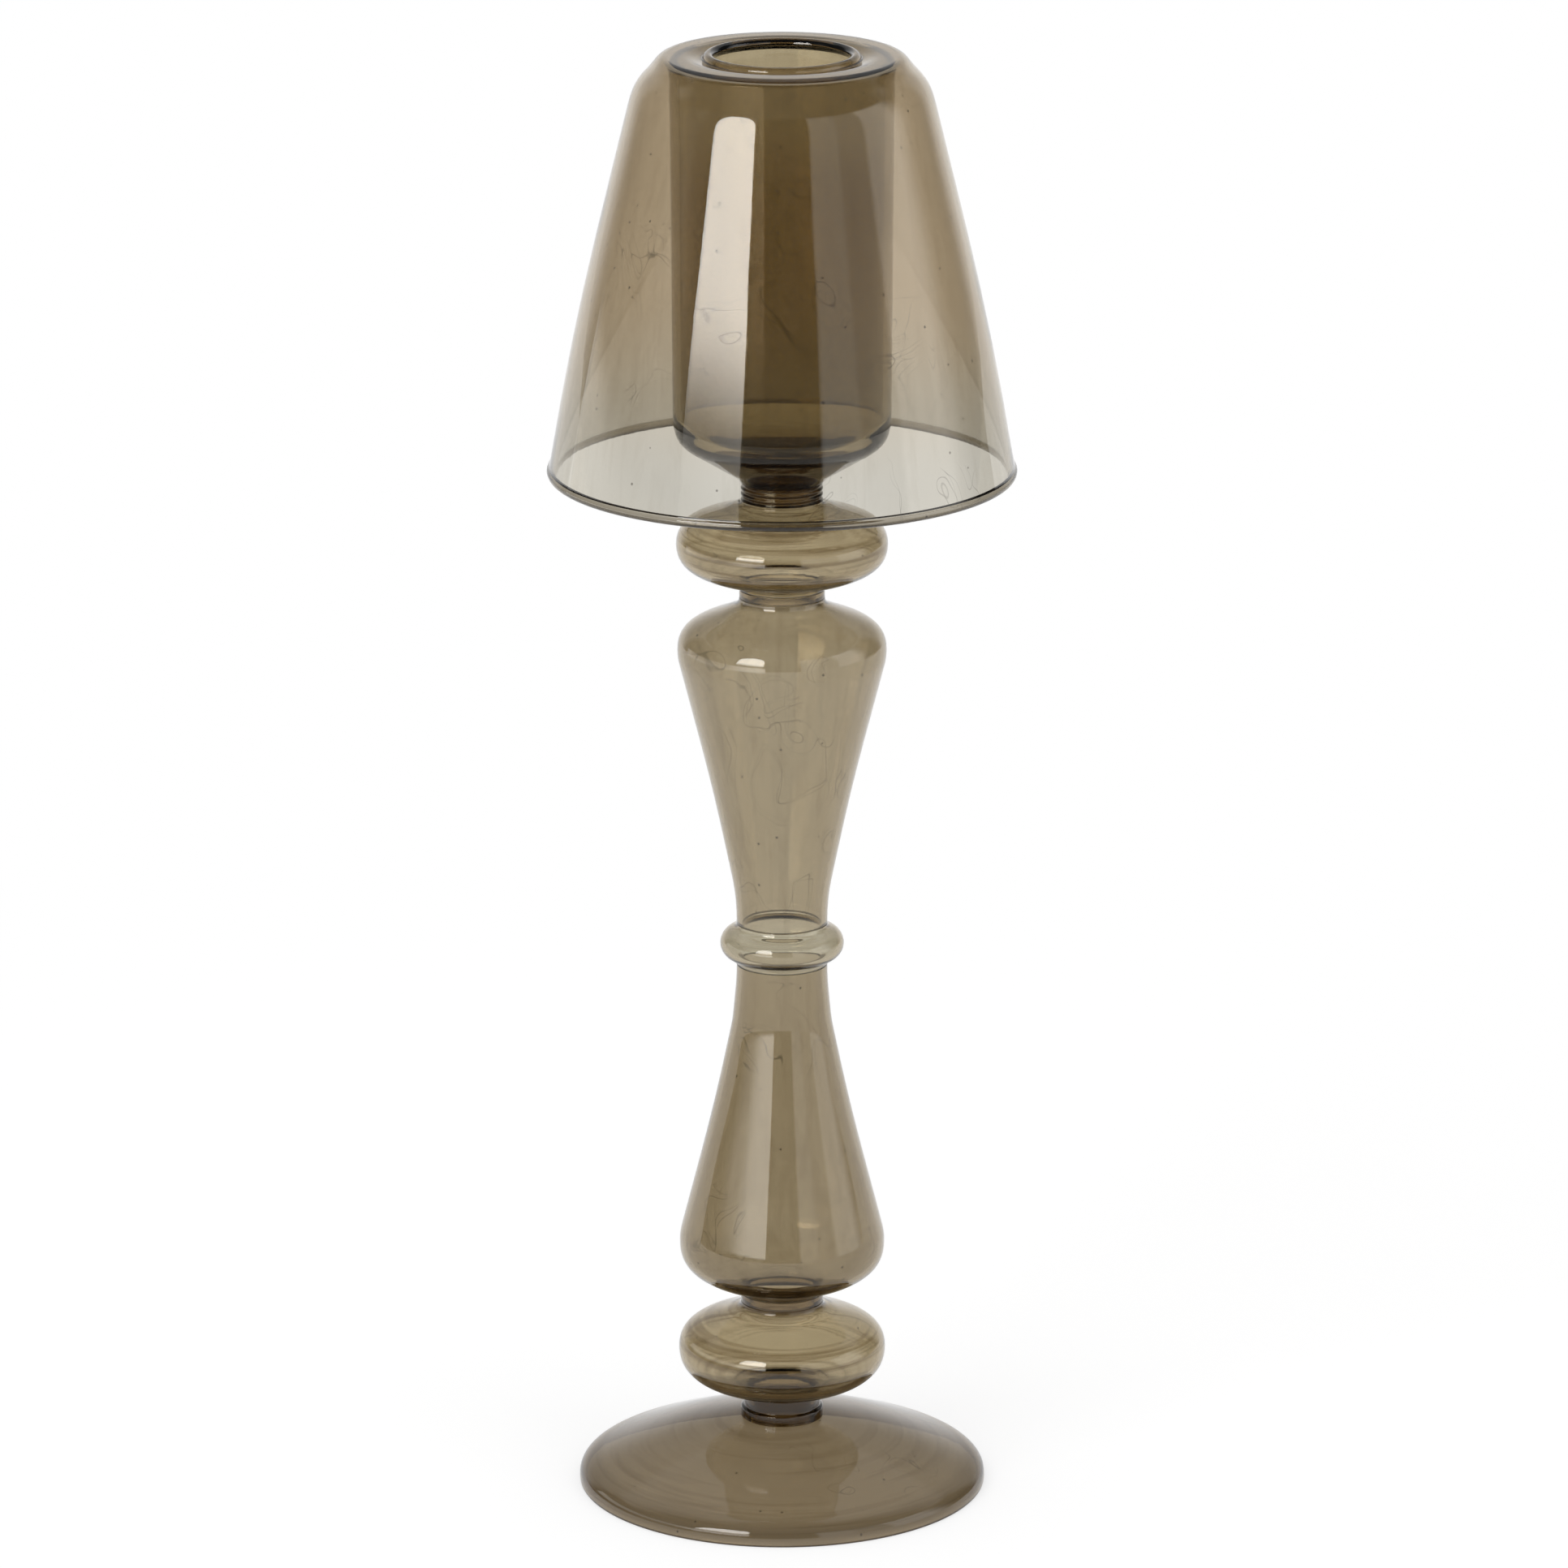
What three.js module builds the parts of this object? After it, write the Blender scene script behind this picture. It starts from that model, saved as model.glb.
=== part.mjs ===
// Hurricane candle holder in smoked glass: a stem of blown bulbs with flame-sealed necks on a domed foot,
// a tall candle cup at the top, and a loose cone shade that hangs over the cup by its own flat top.
// Millimetres, +Z up, origin at the centre of the circle that the foot stands on.
import * as THREE from "three";

// Foot: a shallow closed dome with a rolled-down edge that stands on a narrow flat ring
const FOOT_RADIUS = 62.9;
const FOOT_RISE = 20.8;
const FOOT_WALL = 2.4;
const FOOT_REST_WIDTH = 1;
const FOOT_LIP_HEIGHT = 1.8;
const FOOT_EDGE_WIDTH = 7.6;
const FOOT_EDGE_RISE = 8.3;
const FOOT_EDGE_SLOPE = 22;
const FOOT_CROWN_SLOPE = 9;

// Foot neck: a thick sealed tube with a wider collar fused to the dome
const FOOT_NECK_RADIUS = 11.7;
const FOOT_NECK_HEIGHT = 7.6;
const FOOT_COLLAR_RADIUS = 12.7;
const FOOT_COLLAR_HEIGHT = 2.8;
const FOOT_COLLAR_SHOULDER = 1;

// Lower bead: a flattened hollow bulb
const LOWER_BEAD_RADIUS = 31.95;
const LOWER_BEAD_HEIGHT = 30;
const LOWER_BEAD_WAIST = 15;
const LOWER_BEAD_FOOT_FLARE = 1.4;
const LOWER_BEAD_TOP_FLARE = 3;

// Lower neck: the seal between the lower bead and the lower vase
const LOWER_NECK_RADIUS = 12.7;
const LOWER_NECK_HEIGHT = 2.8;

// Lower vase: a rounded base under a long cone that ends in a straight throat
const LOWER_VASE_RADIUS = 31.6;
const LOWER_VASE_HEIGHT = 106.3;
const LOWER_VASE_FLARE = 2.5;
const LOWER_VASE_BELLY = 16.2;
const LOWER_VASE_CONE_START = 21.8;
const LOWER_VASE_CONE_RADIUS = 30.9;
const LOWER_VASE_CONE_END = 83.8;
const LOWER_VASE_CONE_TIP = 16.1;
const LOWER_VASE_THROAT_START = 91.8;
const LOWER_VASE_THROAT_RADIUS = 14.85;

// Middle ring: a round bulge in the tube where the two throats meet
const STEM_TUBE_RADIUS = 13.9;
const RING_RADIUS = 18.93;
const RING_BULGE = 4.7;
const RING_HEIGHT = 13;
const RING_ARC = 60;

// Upper vase: a flared throat that opens into a cone with a rounded shoulder
const UPPER_VASE_RADIUS = 31.8;
const UPPER_VASE_HEIGHT = 103;
const UPPER_VASE_SHOULDER = 86.7;
const UPPER_VASE_CONE_START = 22;
const UPPER_VASE_CONE_TIP = 16.85;
const UPPER_VASE_CONE_END = 79.8;
const UPPER_VASE_CONE_RADIUS = 30.65;
const UPPER_VASE_FLARE = 3.8;

// Upper neck: the seal between the upper vase and the upper bead
const UPPER_NECK_RADIUS = 13;
const UPPER_NECK_HEIGHT = 2.6;

// Upper bead
const UPPER_BEAD_RADIUS = 32.1;
const UPPER_BEAD_HEIGHT = 27.5;
const UPPER_BEAD_WAIST = 14;
const UPPER_BEAD_FOOT_FLARE = 2.2;
const UPPER_BEAD_TOP_FLARE = 2.6;

// Cup neck: a thick seal with fine rings left by the fusing
const CUP_NECK_RADIUS = 12.4;
const CUP_NECK_HEIGHT = 5.5;
const CUP_NECK_RINGS = 3;
const CUP_NECK_RING_DEPTH = 0.3;
const CUP_NECK_RING_STEPS = 4;

// Cup: a straight open cylinder with a heavy tapering base
const CUP_RADIUS = 33.6;
const CUP_HEEL_RADIUS = 33;
const CUP_HEIGHT = 129;
const CUP_WALL = 2.6;
const CUP_FLOOR_HEIGHT = 12.5;
const CUP_FLOOR_RADIUS = 20;
const CUP_HEEL_HEIGHT = 22;
const CUP_TAPER_SLOPE = 32;
const CUP_TAPER_RISE = 4.9;
const CUP_TAPER_WIDTH = 6.5;
const CUP_TAPER_LENGTH = 11;
const CUP_SEAL_SLOPE = 50;

// Shade: a cone with a rolled bead at its rim, a round shoulder and a flat top with a beaded hole
const SHADE_RADIUS = 71;
const SHADE_HEIGHT = 128.7;
const SHADE_WALL = 1.9;
const SHADE_RIM_BEAD = 3;
const SHADE_RIM_STAND = 0.85;
const SHADE_CONE_RADIUS = 46.4;
const SHADE_CONE_DROP = 16.3;
const SHADE_SHOULDER_RADIUS = 40.5;
const SHADE_SHOULDER_DROP = 4.7;
const SHADE_SHOULDER_SLOPE = 45;
const SHADE_HOLE_RADIUS = 20.3;
const SHADE_HOLE_BEAD = 3.4;
const SHADE_DISH = 0.9;
const SHADE_HOLE_FILLET = 0.4;
const SHADE_RIM_SLOPE = 80.4;
const SHADE_CONE_SLOPE = 76.3;

// Where the two round beads leave the shade's wall and meet it again, in degrees round the bead
const RIM_BEAD_START = 120;
const RIM_BEAD_END = 400;
const HOLE_BEAD_START = 10;
const HOLE_BEAD_END = 290;

// The shade's flat top hangs on the cup's rim
const SHADE_SEAT_GAP = 0.3;
const SHADE_CENTRING_GAP = 0.8;

// Walls of the stem
const BULB_WALL = 1.7;
const SEAL_WALL = 2.6;

// Flares at the bulbs' necks: how far they reach out, and their slope at a bulb's foot side and top side
const FLARE_WIDTH = 3.8;
const FOOT_SIDE_SLOPE = 20;
const TOP_SIDE_SLOPE = 25;

// Slopes of the vases' cones, at their wide end and at their throat, and of the lower vase's throat
const CONE_SLOPE = 75.7;
const CONE_TIP_SLOPE = 78.5;
const THROAT_SLOPE = 85;

// Facets: around a piece, and the turn that one step of a bend may take
const WIDE_FACETS = 40;
const STEM_FACETS = 28;
const BEND_STEP = 24;
const ARC_STEP = 36;
const BEND_REACH = 0.42;

// Heights at which the pieces stack up from the floor
const footNeckBase = FOOT_RISE;
const lowerBeadBase = footNeckBase + FOOT_NECK_HEIGHT;
const lowerNeckBase = lowerBeadBase + LOWER_BEAD_HEIGHT;
const lowerVaseBase = lowerNeckBase + LOWER_NECK_HEIGHT;
const ringBase = lowerVaseBase + LOWER_VASE_HEIGHT;
const upperVaseBase = ringBase + RING_HEIGHT;
const upperNeckBase = upperVaseBase + UPPER_VASE_HEIGHT;
const upperBeadBase = upperNeckBase + UPPER_NECK_HEIGHT;
const cupNeckBase = upperBeadBase + UPPER_BEAD_HEIGHT;
const cupBase = cupNeckBase + CUP_NECK_HEIGHT;
const cupRim = cupBase + CUP_HEIGHT;
const shadeTop = cupRim + SHADE_SEAT_GAP + SHADE_WALL;

// An outline is a list of points (radius, height) that runs up the outside with the glass on its left.
// Headings are degrees: 0 outwards, 90 up, 180 inwards, 270 down.
function radians(degrees) {
  return THREE.MathUtils.degToRad(degrees);
}

function point(radius, height) {
  return new THREE.Vector2(radius, height);
}

// The unit step on a heading
function towards(heading) {
  return point(Math.cos(radians(heading)), Math.sin(radians(heading)));
}

// Adds a smooth bend from the last point to a new one, leaving on one heading and arriving on another
function bend(outline, heading, radius, height, newHeading) {
  const start = outline[outline.length - 1];
  const end = point(radius, height);
  const reach = start.distanceTo(end) * BEND_REACH;
  const leaving = start.clone().addScaledVector(towards(heading), reach);
  const arriving = end.clone().addScaledVector(towards(newHeading), -reach);
  const turn = Math.abs(newHeading - heading);
  const steps = Math.max(2, Math.ceil(turn / BEND_STEP));
  const curve = new THREE.CubicBezierCurve(start, leaving, arriving, end);
  outline.push(...curve.getPoints(steps).slice(1));
}

// Adds an arc around a centre, between two angles in degrees
function arc(outline, centre, radius, from, to) {
  const steps = Math.ceil(Math.abs(to - from) / ARC_STEP);
  for (let step = 0; step <= steps; step += 1) {
    const angle = radians(from + ((to - from) * step) / steps);
    outline.push(point(centre.x + radius * Math.cos(angle), centre.y + radius * Math.sin(angle)));
  }
}

// The other face of a wall of even thickness, to the left of an outline
function insideOf(outline, wall) {
  return outline.map((here, index) => {
    const before = outline[Math.max(index - 1, 0)];
    const after = outline[Math.min(index + 1, outline.length - 1)];
    const along = after.clone().sub(before).normalize();
    return point(here.x - along.y * wall, here.y + along.x * wall);
  });
}

// A wall with flat ends: the outline, and its inside face walked back down
function wallOf(outline, wall) {
  const inside = insideOf(outline, wall);
  inside[0].y = outline[0].y;
  inside[inside.length - 1].y = outline[outline.length - 1].y;
  return [...outline, ...inside.reverse()];
}

// Glass: one tint, with each piece's own strength by its thickness
function glass(colour, opacity) {
  return new THREE.MeshStandardMaterial({
    color: colour,
    roughness: 0.05,
    metalness: 0,
    transparent: true,
    opacity: opacity,
  });
}

// Turns a profile about the vertical axis. One that neither starts nor ends on the axis is closed on itself.
function turned(name, profile, facets, material) {
  const points = profile.map((p) => p.clone());
  if (points[0].x > 0) {
    points.push(points[0].clone());
  }
  const geometry = new THREE.LatheGeometry(points, facets);
  geometry.rotateX(Math.PI / 2);
  const mesh = new THREE.Mesh(geometry, material);
  mesh.name = name;
  return mesh;
}

function foot() {
  const middle = FOOT_RADIUS - FOOT_WALL / 2;
  const dome = [point(FOOT_RADIUS, FOOT_LIP_HEIGHT)];
  bend(dome, 90, FOOT_RADIUS - FOOT_EDGE_WIDTH, FOOT_EDGE_RISE, 180 - FOOT_EDGE_SLOPE);
  bend(dome, 180 - FOOT_EDGE_SLOPE, FOOT_COLLAR_RADIUS, FOOT_RISE, 180 - FOOT_CROWN_SLOPE);
  const under = insideOf(dome, FOOT_WALL);
  under[0].y = FOOT_LIP_HEIGHT;
  under[under.length - 1].y = FOOT_RISE - FOOT_WALL;
  const outerLip = [point(middle + FOOT_REST_WIDTH / 2, 0)];
  bend(outerLip, 0, FOOT_RADIUS, FOOT_LIP_HEIGHT, 90);
  const innerLip = [point(middle - FOOT_REST_WIDTH / 2, 0)];
  bend(innerLip, 180, FOOT_RADIUS - FOOT_WALL, FOOT_LIP_HEIGHT, 90);
  const profile = [
    point(0, FOOT_RISE - FOOT_WALL),
    ...under.reverse(),
    ...innerLip.reverse().slice(1),
    ...outerLip,
    ...dome.slice(1),
    point(0, FOOT_RISE),
  ];
  return turned("foot", profile, WIDE_FACETS, glass(0x857862, 0.6));
}

function footNeck() {
  const outline = [point(FOOT_COLLAR_RADIUS, footNeckBase)];
  outline.push(point(FOOT_COLLAR_RADIUS, footNeckBase + FOOT_COLLAR_HEIGHT));
  bend(outline, 90, FOOT_NECK_RADIUS, footNeckBase + FOOT_COLLAR_HEIGHT + FOOT_COLLAR_SHOULDER, 90);
  outline.push(point(FOOT_NECK_RADIUS, footNeckBase + FOOT_NECK_HEIGHT));
  const bore = FOOT_NECK_RADIUS - SEAL_WALL;
  const profile = [...outline, point(bore, footNeckBase + FOOT_NECK_HEIGHT), point(bore, footNeckBase)];
  return turned("foot_neck", profile, STEM_FACETS, glass(0x6e6248, 0.8));
}

// Opens an outline out from a neck, by a flare, to the widest circle of a bulb
function openOut(outline, flare, radius, height) {
  const neck = outline[outline.length - 1];
  bend(outline, 90, neck.x + FLARE_WIDTH, neck.y + flare, FOOT_SIDE_SLOPE);
  bend(outline, FOOT_SIDE_SLOPE, radius, height, 90);
}

// Closes an outline in from the widest circle of a bulb, by a flare, to a neck
function closeIn(outline, flare, neckRadius, top) {
  bend(outline, 90, neckRadius + FLARE_WIDTH, top - flare, 180 - TOP_SIDE_SLOPE);
  bend(outline, 180 - TOP_SIDE_SLOPE, neckRadius, top, 90);
}

// A flattened hollow bulb between two necks, widest at its waist
function lowerBead() {
  const outline = [point(FOOT_NECK_RADIUS, lowerBeadBase)];
  openOut(outline, LOWER_BEAD_FOOT_FLARE, LOWER_BEAD_RADIUS, lowerBeadBase + LOWER_BEAD_WAIST);
  closeIn(outline, LOWER_BEAD_TOP_FLARE, LOWER_NECK_RADIUS, lowerNeckBase);
  return turned("lower_bead", wallOf(outline, BULB_WALL), STEM_FACETS, glass(0x8f8468, 0.6));
}

function upperBead() {
  const outline = [point(UPPER_NECK_RADIUS, upperBeadBase)];
  openOut(outline, UPPER_BEAD_FOOT_FLARE, UPPER_BEAD_RADIUS, upperBeadBase + UPPER_BEAD_WAIST);
  closeIn(outline, UPPER_BEAD_TOP_FLARE, CUP_NECK_RADIUS, cupNeckBase);
  return turned("upper_bead", wallOf(outline, BULB_WALL), STEM_FACETS, glass(0x8f8468, 0.6));
}

// A short thick tube where two bulbs are sealed together
function seal(name, base, height, radius) {
  const outline = [point(radius, base), point(radius, base + height)];
  return turned(name, wallOf(outline, SEAL_WALL), STEM_FACETS, glass(0x6e6248, 0.8));
}

function lowerVase() {
  const base = lowerVaseBase;
  const outline = [point(LOWER_NECK_RADIUS, base)];
  openOut(outline, LOWER_VASE_FLARE, LOWER_VASE_RADIUS, base + LOWER_VASE_BELLY);
  bend(outline, 90, LOWER_VASE_CONE_RADIUS, base + LOWER_VASE_CONE_START, 180 - CONE_SLOPE);
  bend(outline, 180 - CONE_SLOPE, LOWER_VASE_CONE_TIP, base + LOWER_VASE_CONE_END, 180 - CONE_TIP_SLOPE);
  const throatStart = base + LOWER_VASE_THROAT_START;
  bend(outline, 180 - CONE_TIP_SLOPE, LOWER_VASE_THROAT_RADIUS, throatStart, 180 - THROAT_SLOPE);
  bend(outline, 180 - THROAT_SLOPE, STEM_TUBE_RADIUS, ringBase, 90);
  return turned("lower_vase", wallOf(outline, BULB_WALL), STEM_FACETS, glass(0x8f8468, 0.6));
}

function middleRing() {
  const middle = ringBase + RING_HEIGHT / 2;
  const outline = [point(STEM_TUBE_RADIUS, ringBase)];
  const centre = point(RING_RADIUS - RING_BULGE, middle);
  const start = towards(-RING_ARC).multiplyScalar(RING_BULGE).add(centre);
  bend(outline, 90, start.x, start.y, 90 - RING_ARC);
  outline.pop();
  arc(outline, centre, RING_BULGE, -RING_ARC, RING_ARC);
  bend(outline, 90 + RING_ARC, STEM_TUBE_RADIUS, ringBase + RING_HEIGHT, 90);
  return turned("middle_ring", wallOf(outline, BULB_WALL), STEM_FACETS, glass(0x8a7e62, 0.65));
}

function upperVase() {
  const base = upperVaseBase;
  const outline = [point(STEM_TUBE_RADIUS, base)];
  bend(outline, 90, UPPER_VASE_CONE_TIP, base + UPPER_VASE_CONE_START, CONE_TIP_SLOPE);
  bend(outline, CONE_TIP_SLOPE, UPPER_VASE_CONE_RADIUS, base + UPPER_VASE_CONE_END, CONE_SLOPE);
  bend(outline, CONE_SLOPE, UPPER_VASE_RADIUS, base + UPPER_VASE_SHOULDER, 90);
  closeIn(outline, UPPER_VASE_FLARE, UPPER_NECK_RADIUS, upperNeckBase);
  return turned("upper_vase", wallOf(outline, BULB_WALL), STEM_FACETS, glass(0x8f8468, 0.6));
}

function cupNeck() {
  const outline = [];
  const steps = CUP_NECK_RINGS * CUP_NECK_RING_STEPS;
  for (let step = 0; step <= steps; step += 1) {
    const ripple = Math.cos((2 * Math.PI * step) / CUP_NECK_RING_STEPS);
    const radius = CUP_NECK_RADIUS - (CUP_NECK_RING_DEPTH * (1 - ripple)) / 2;
    outline.push(point(radius, cupNeckBase + (CUP_NECK_HEIGHT * step) / steps));
  }
  const bore = CUP_NECK_RADIUS - SEAL_WALL - CUP_NECK_RING_DEPTH;
  const profile = [...outline, point(bore, cupBase), point(bore, cupNeckBase)];
  return turned("cup_neck", profile, STEM_FACETS, glass(0x4f452e, 0.9));
}

function cup() {
  const heel = cupBase + CUP_HEEL_HEIGHT;
  const lip = CUP_WALL / 2;
  const taperRadius = CUP_NECK_RADIUS + CUP_TAPER_WIDTH;
  const taperHeight = cupBase + CUP_TAPER_RISE;
  const taperEnd = taperRadius + CUP_TAPER_LENGTH * Math.cos(radians(CUP_TAPER_SLOPE));
  const taperTop = taperHeight + CUP_TAPER_LENGTH * Math.sin(radians(CUP_TAPER_SLOPE));
  const outline = [point(0, cupBase), point(CUP_NECK_RADIUS, cupBase)];
  bend(outline, CUP_SEAL_SLOPE, taperRadius, taperHeight, CUP_TAPER_SLOPE);
  outline.push(point(taperEnd, taperTop));
  bend(outline, CUP_TAPER_SLOPE, CUP_HEEL_RADIUS, heel, 90);
  arc(outline, point(CUP_RADIUS - lip, cupRim - lip), lip, 0, 180);
  outline.push(point(CUP_HEEL_RADIUS - CUP_WALL, heel));
  bend(outline, 270, CUP_FLOOR_RADIUS, cupBase + CUP_FLOOR_HEIGHT, 180);
  outline.push(point(0, cupBase + CUP_FLOOR_HEIGHT));
  return turned("cup", outline, WIDE_FACETS, glass(0x5f5138, 0.8));
}

function shade() {
  const rimHeight = shadeTop - SHADE_HEIGHT;
  const rimBead = SHADE_RIM_BEAD / 2;
  const rimCentre = point(SHADE_RADIUS - rimBead, rimHeight + rimBead);
  const wallFoot = point(SHADE_RADIUS - SHADE_RIM_STAND, rimHeight + SHADE_RIM_BEAD);
  const crestRadius = CUP_RADIUS + SHADE_CENTRING_GAP;
  const seatInside = CUP_RADIUS - CUP_WALL - SHADE_CENTRING_GAP;
  const holeBead = SHADE_HOLE_BEAD / 2;
  const holeCentre = point(SHADE_HOLE_RADIUS + holeBead, shadeTop - SHADE_DISH);

  const wall = [wallFoot];
  const coneTop = shadeTop - SHADE_CONE_DROP;
  bend(wall, 180 - SHADE_RIM_SLOPE, SHADE_CONE_RADIUS, coneTop, 180 - SHADE_CONE_SLOPE);
  const shoulder = shadeTop - SHADE_SHOULDER_DROP;
  bend(wall, 180 - SHADE_CONE_SLOPE, SHADE_SHOULDER_RADIUS, shoulder, 180 - SHADE_SHOULDER_SLOPE);
  bend(wall, 180 - SHADE_SHOULDER_SLOPE, crestRadius, shadeTop, 180);
  wall.push(point(seatInside, shadeTop));
  wall.push(point(holeCentre.x + holeBead + SHADE_HOLE_FILLET, shadeTop - SHADE_DISH));

  const profile = [];
  arc(profile, rimCentre, rimBead, RIM_BEAD_START, RIM_BEAD_END);
  profile.push(...wall);
  arc(profile, holeCentre, holeBead, HOLE_BEAD_START, HOLE_BEAD_END);
  profile.push(...insideOf(wall, SHADE_WALL).reverse());
  return turned("shade", profile, WIDE_FACETS, glass(0xa39a8c, 0.45));
}

const holder = new THREE.Group();
holder.add(
  foot(),
  footNeck(),
  lowerBead(),
  seal("lower_neck", lowerNeckBase, LOWER_NECK_HEIGHT, LOWER_NECK_RADIUS),
  lowerVase(),
  middleRing(),
  upperVase(),
  seal("upper_neck", upperNeckBase, UPPER_NECK_HEIGHT, UPPER_NECK_RADIUS),
  upperBead(),
  cupNeck(),
  cup(),
);

const candleHolder = new THREE.Group();
candleHolder.add(holder, shade());

export default candleHolder;
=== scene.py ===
"""Looks for a smoked-glass hurricane candle holder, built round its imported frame.

Lengths in the outlines are millimetres, as a glassblower's drawing gives them, and MM turns them
into the frame's metres. An outline is walked up a wall's outside, with the glass on its left.
"""

import math

import bmesh
import bpy
from bpy.props import FloatProperty, FloatVectorProperty, IntProperty, PointerProperty
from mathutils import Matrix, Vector
from mathutils.geometry import interpolate_bezier


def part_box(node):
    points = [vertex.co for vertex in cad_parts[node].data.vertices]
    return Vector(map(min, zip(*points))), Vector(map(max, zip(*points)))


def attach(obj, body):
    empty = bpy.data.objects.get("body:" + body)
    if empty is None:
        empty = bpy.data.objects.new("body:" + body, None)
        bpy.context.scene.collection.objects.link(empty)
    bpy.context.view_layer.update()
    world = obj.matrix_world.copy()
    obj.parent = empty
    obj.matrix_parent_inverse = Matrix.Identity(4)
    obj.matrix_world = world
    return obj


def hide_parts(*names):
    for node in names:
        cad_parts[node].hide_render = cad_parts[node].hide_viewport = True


bl_info = {
    "name": "Smoked glass hurricane candle holder",
    "version": (1, 0, 0),
    "blender": (4, 5, 0),
    "location": "View3D > Sidebar > Candle Holder",
    "description": "Blown stem, cup and loose shade in smoked glass, with a plain white studio",
    "category": "Add Mesh",
}

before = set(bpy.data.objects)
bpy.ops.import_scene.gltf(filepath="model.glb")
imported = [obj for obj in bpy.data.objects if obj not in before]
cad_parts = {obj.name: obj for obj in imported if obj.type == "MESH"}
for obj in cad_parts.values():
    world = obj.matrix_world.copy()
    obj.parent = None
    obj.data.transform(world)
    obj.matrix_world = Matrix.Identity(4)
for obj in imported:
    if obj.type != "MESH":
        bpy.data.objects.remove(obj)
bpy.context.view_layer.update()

MM = 0.001
FULL_TURN = 2 * math.pi

# How finely a bend or an arc is stepped, in degrees, and how far a bend's handles reach
BEND_STEP = 5
BEND_LEAST = 6
BEND_REACH = 0.42


# Sizes and colours that a user would change


def length(name, description, millimetres):
    """A length that a user would change"""
    return FloatProperty(
        name=name,
        description=description,
        default=millimetres * MM,
        unit="LENGTH",
        precision=6,
    )


class GlassSizes(bpy.types.PropertyGroup):
    """Walls, seams and fineness of the blown pieces"""

    segments: IntProperty(
        name="Segments",
        description="Steps round a piece",
        default=224,
        min=24,
        max=512,
    )
    bulb_wall: length("Bulb wall", "Wall of the beads and vases", 1.7)
    seal_wall: length("Seal wall", "Wall of the sealed necks", 2.6)
    foot_wall: length("Foot wall", "Wall of the foot's dome", 2.4)
    cup_wall: length("Cup wall", "Wall of the candle cup", 2.6)
    shade_wall: length("Shade wall", "Wall of the shade", 1.9)
    seam: length("Seam", "Gap at each flame-sealed seam", 0.06)
    edge: length("Edge", "Rounding of each fire-polished edge", 0.14)


def tint(name, colour):
    """A glass colour: the share of light that one wall's skin lets through, apart from its body"""
    description = f"Light that the skin of the {name.lower()} lets through"
    return FloatVectorProperty(
        name=name,
        description=description,
        subtype="COLOR",
        size=3,
        min=0,
        max=1,
        default=colour,
    )


class GlassTints(bpy.types.PropertyGroup):
    """How much light one wall of each kind of glass lets through"""

    shade: tint("Shade", (0.782, 0.727, 0.646))
    shade_rim: tint("Shade rim", (0.728, 0.734, 0.721))
    cup: tint("Cup", (0.555, 0.496, 0.348))
    cup_rim: tint("Cup rim", (0.686, 0.662, 0.543))
    vase: tint("Upper vase", (0.784, 0.762, 0.699))
    lower_vase: tint("Lower vase", (0.71, 0.676, 0.6))
    ring: tint("Middle ring", (0.925, 0.949, 0.949))
    bead: tint("Beads", (0.885, 0.863, 0.783))
    seal: tint("Upper seal", (0.782, 0.732, 0.611))
    low_seal: tint("Lower seals", (0.438, 0.366, 0.251))
    dark_seal: tint("Cup seal", (0.376, 0.296, 0.196))
    # The foot's tint is its smoked glass, darkened further as painted shade for the shadowed floor
    # seen through its dome
    foot: tint("Foot", (0.491, 0.426, 0.325))


def brightness(name, description, level, unit="NONE"):
    """A brightness or a lamp's power that a user would change"""
    return FloatProperty(name=name, description=description, default=level, min=0, unit=unit)


class StudioLight(bpy.types.PropertyGroup):
    """A plain white studio round the glass"""

    ambient: brightness("Ambient", "Even light from all round", 0.7)
    window: brightness("Softbox", "Brightness of the softbox as glass shows it", 10.0)
    card: brightness("Low card", "Brightness of the low card as glass shows it", 3.6)
    key: brightness("Key", "Power of the key lamp", 9.0, "POWER")
    fill: brightness("Fill", "Power of the fill lamp", 5.0, "POWER")
    lens: FloatProperty(
        name="Lens",
        description="Focal length in millimetres",
        default=215.0,
        min=20,
    )


# Outlines


def towards(heading):
    """The unit step on a heading in degrees: 0 is outwards, 90 up, 180 inwards and 270 down"""
    angle = math.radians(heading)
    return Vector((math.cos(angle), math.sin(angle)))


class Outline:
    """A line of (distance from the axis, height) points in millimetres"""

    def __init__(self, radius, height):
        self.points = [Vector((radius, height))]

    def line(self, radius, height):
        self.points.append(Vector((radius, height)))

    def bend(self, heading, radius, height, new_heading):
        """Leaves the last point on one heading and arrives at a new one on another"""
        start = self.points[-1]
        end = Vector((radius, height))
        reach = (end - start).length * BEND_REACH
        steps = max(BEND_LEAST, math.ceil(abs(new_heading - heading) / BEND_STEP))
        leaving = start + towards(heading) * reach
        arriving = end - towards(new_heading) * reach
        self.points.extend(interpolate_bezier(start, leaving, arriving, end, steps + 1)[1:])

    def arc(self, centre, radius, start, end):
        """A round stretch about a centre, between two angles in degrees"""
        steps = math.ceil(abs(end - start) / BEND_STEP)
        for step in range(steps + 1):
            self.points.append(centre + towards(start + (end - start) * step / steps) * radius)

    def inside(self, wall):
        """The wall's other face, at an even distance to the left of the outline"""
        points = self.points
        offset = []
        for index, here in enumerate(points):
            ahead = points[min(index + 1, len(points) - 1)]
            along = (ahead - points[max(index - 1, 0)]).normalized()
            offset.append(here + Vector((-along.y, along.x)) * wall)
        return offset

    def walled(self, wall):
        """The whole section of a wall with flat ends"""
        inner = self.inside(wall)
        inner[0].y = self.points[0].y
        inner[-1].y = self.points[-1].y
        return self.points + inner[::-1]


# Meshes


def levels(node):
    """The lowest and highest level of a node, and its reach from the axis, in millimetres"""
    low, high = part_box(node)
    return low.z / MM, high.z / MM, high.x / MM


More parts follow.
